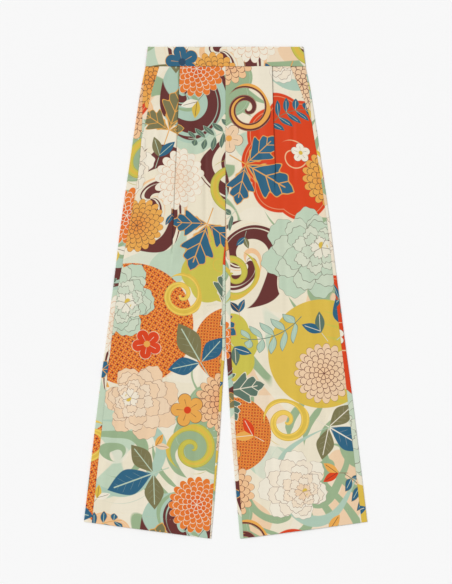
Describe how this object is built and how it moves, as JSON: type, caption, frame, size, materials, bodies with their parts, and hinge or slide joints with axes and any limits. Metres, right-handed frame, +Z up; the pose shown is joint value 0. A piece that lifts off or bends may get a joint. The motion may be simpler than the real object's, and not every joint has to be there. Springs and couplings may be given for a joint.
{
  "type": "palazzo pants",
  "caption": "Wide-leg trousers lying flat with the front up: straight waistband, pressed front pleats, slanted hip pockets and plain hems, in smooth printed cloth.",
  "frame": {"origin": "on the surface that the trousers lie on, under the middle of their bounding box", "axes": "+Z up out of the front of the trousers, +Y along their length towards the waistband, +X towards the wearer's left leg"},
  "size_m": [0.637, 1.1051, 0.0082],
  "materials": {
    "leg_cloth": "smooth satin weave, printed in cream, orange-red, maroon, sage, blue and ochre",
    "waistband_cloth": "the same printed satin, folded over an interfacing",
    "facing_cloth": "the same printed satin"
  },
  "bodies": {
    "root": {"front_waistband": "waistband_cloth", "back_waistband": "waistband_cloth", "right_front": "leg_cloth", "left_front": "leg_cloth", "right_back": "leg_cloth", "left_back": "leg_cloth", "right_pocket_facing": "facing_cloth", "left_pocket_facing": "facing_cloth"}
  },
  "joints": []
}
